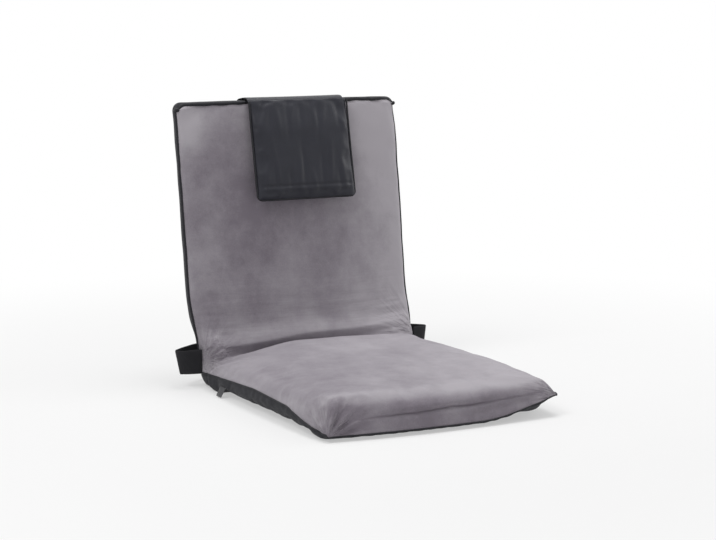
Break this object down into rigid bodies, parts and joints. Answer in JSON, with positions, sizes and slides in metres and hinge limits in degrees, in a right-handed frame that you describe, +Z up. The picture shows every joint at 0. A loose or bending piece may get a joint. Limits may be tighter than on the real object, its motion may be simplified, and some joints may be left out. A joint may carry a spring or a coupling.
{
  "type": "folding floor chair",
  "caption": "Padded legless chair of a seat and a back on bent tube frames, joined by ratchet hinges so the back reclines flat or folds over the seat; draped head pad and carry strap.",
  "frame": {"origin": "Centre of the seat's underside, on the floor.", "axes": "+Z up, the sitter faces -Y, +X is the sitter's left; the hinge axis is along X at the seat's rear edge."},
  "size_m": [0.5054, 0.6187, 0.5062],
  "materials": {
    "grey_suede": "suede-like nap",
    "black_fabric": "plain weave",
    "headrest_fabric": "smooth cloth with a soft sheen",
    "piping": "woven cord cover",
    "webbing": "ribbed webbing",
    "tag_fabric": "satin ribbon, bare",
    "foam": "open-cell foam",
    "hook_and_loop": "hook and loop pile",
    "zip_fabric": "woven tape",
    "zip_plastic": "moulded coil",
    "zinc_steel": "zinc plated",
    "spring_steel": "tempered",
    "black_tube": "powder coat",
    "plated_steel": "stamped and plated"
  },
  "bodies": {
    "seat": {"crease_panel": "grey_suede", "hinge_boot_left": "black_fabric", "hinge_boot_right": "black_fabric", "hinge_clevis_left": "plated_steel", "hinge_clevis_right": "plated_steel", "pawl_pin_left": "zinc_steel", "pawl_pin_right": "zinc_steel", "pawl_spring_left": "spring_steel", "pawl_spring_right": "spring_steel", "pivot_rivet_left": "zinc_steel", "pivot_rivet_right": "zinc_steel", "rear_gusset": "black_fabric", "seat_base_cover": "black_fabric", "seat_crossbar_front": "black_tube", "seat_crossbar_rear": "black_tube", "seat_foam_lower": "foam", "seat_foam_upper": "foam", "seat_frame_tube": "black_tube", "seat_piping": "piping", "seat_top_cover": "grey_suede", "seat_tube_rivets": "zinc_steel", "side_tag": "tag_fabric"},
    "backrest": {"back_crossbar_lower": "black_tube", "back_crossbar_upper": "black_tube", "back_foam_front": "foam", "back_foam_rear": "foam", "back_frame_tube": "black_tube", "back_front_cover": "grey_suede", "back_rear_cover": "black_fabric", "back_tube_rivets": "zinc_steel", "carry_strap": "webbing", "loop_strip": "hook_and_loop", "ratchet_gear_left": "plated_steel", "ratchet_gear_right": "plated_steel", "zip_coil": "zip_plastic", "zip_tape": "zip_fabric"},
    "headrest": {"headrest_cover": "headrest_fabric", "headrest_flap": "headrest_fabric", "headrest_foam": "foam", "hook_strip": "hook_and_loop"},
    "pawl_left": {"pawl_left": "plated_steel"},
    "pawl_right": {"pawl_right": "plated_steel"},
    "zip_slider": {"zip_slider": "zinc_steel"}
  },
  "joints": [
    {"name": "backrest_fold", "type": "hinge", "parent": "seat", "child": "backrest", "pos_m": [0, 0.253, 0.042], "axis": [1, 0, 0], "range_deg": [-80, 85], "deforming": ["crease_panel", "rear_gusset", "hinge_boot_left", "hinge_boot_right", "carry_strap"]},
    {"name": "headrest_lift", "type": "slide", "parent": "backrest", "child": "headrest", "axis": [0, 0.1435, 0.9897], "range_m": [0, 0.06]},
    {"name": "pawl_left_release", "type": "hinge", "parent": "seat", "child": "pawl_left", "pos_m": [0.2015, 0.238, 0.0235], "axis": [1, 0, 0], "range_deg": [-8, 0], "stiffness_Nm_per_rad": 0.1, "springref_deg": 11.46, "deforming": ["pawl_spring_left"]},
    {"name": "pawl_right_release", "type": "hinge", "parent": "seat", "child": "pawl_right", "pos_m": [-0.2015, 0.238, 0.0235], "axis": [1, 0, 0], "range_deg": [-8, 0], "stiffness_Nm_per_rad": 0.1, "springref_deg": 11.46, "deforming": ["pawl_spring_right"]},
    {"name": "zip_slider_travel", "type": "slide", "parent": "backrest", "child": "zip_slider", "axis": [1, 0, 0], "range_m": [0, 0.31]}
  ]
}
